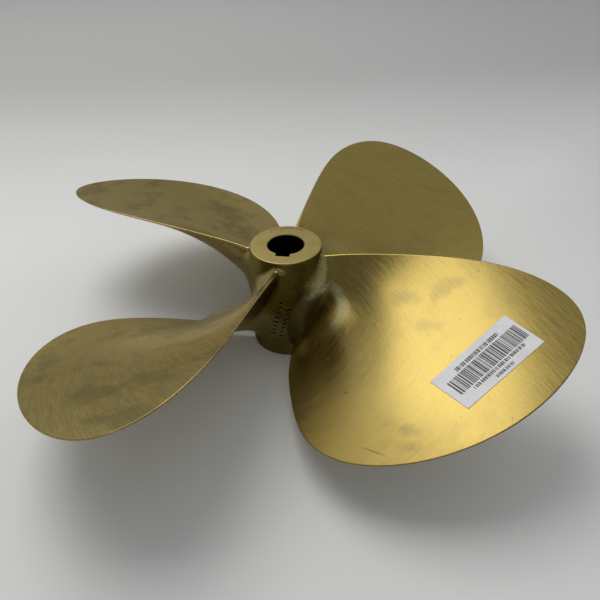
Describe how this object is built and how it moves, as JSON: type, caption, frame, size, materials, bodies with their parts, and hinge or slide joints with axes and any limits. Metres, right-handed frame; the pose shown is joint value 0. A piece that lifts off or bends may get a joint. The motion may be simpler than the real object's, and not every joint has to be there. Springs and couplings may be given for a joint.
{
  "type": "boat propeller",
  "caption": "Cast bronze right-hand boat propeller with broad skewed blades on a conical hub with a tapered, keyed bore.",
  "frame": {"origin": "on the shaft axis, at the hub's forward end face, which is what the propeller stands on", "axes": "+Z along the shaft axis towards aft, from the bore's large end to its small end; -Y faces the side where the keyway and the gap between blade_4 and blade_1 are"},
  "size_m": [0.4964, 0.4964, 0.1302],
  "materials": {
    "hub_bronze": "satin cast manganese bronze, machined on its end faces and in the bore",
    "blade_bronze": "satin manganese bronze, ground and brushed, with light tarnish",
    "label_film": "matt white adhesive film"
  },
  "bodies": {
    "root": {"hub": "hub_bronze", "blade_1": "blade_bronze", "blade_2": "blade_bronze", "blade_3": "blade_bronze", "blade_4": "blade_bronze", "stock_label": "label_film"}
  },
  "joints": []
}
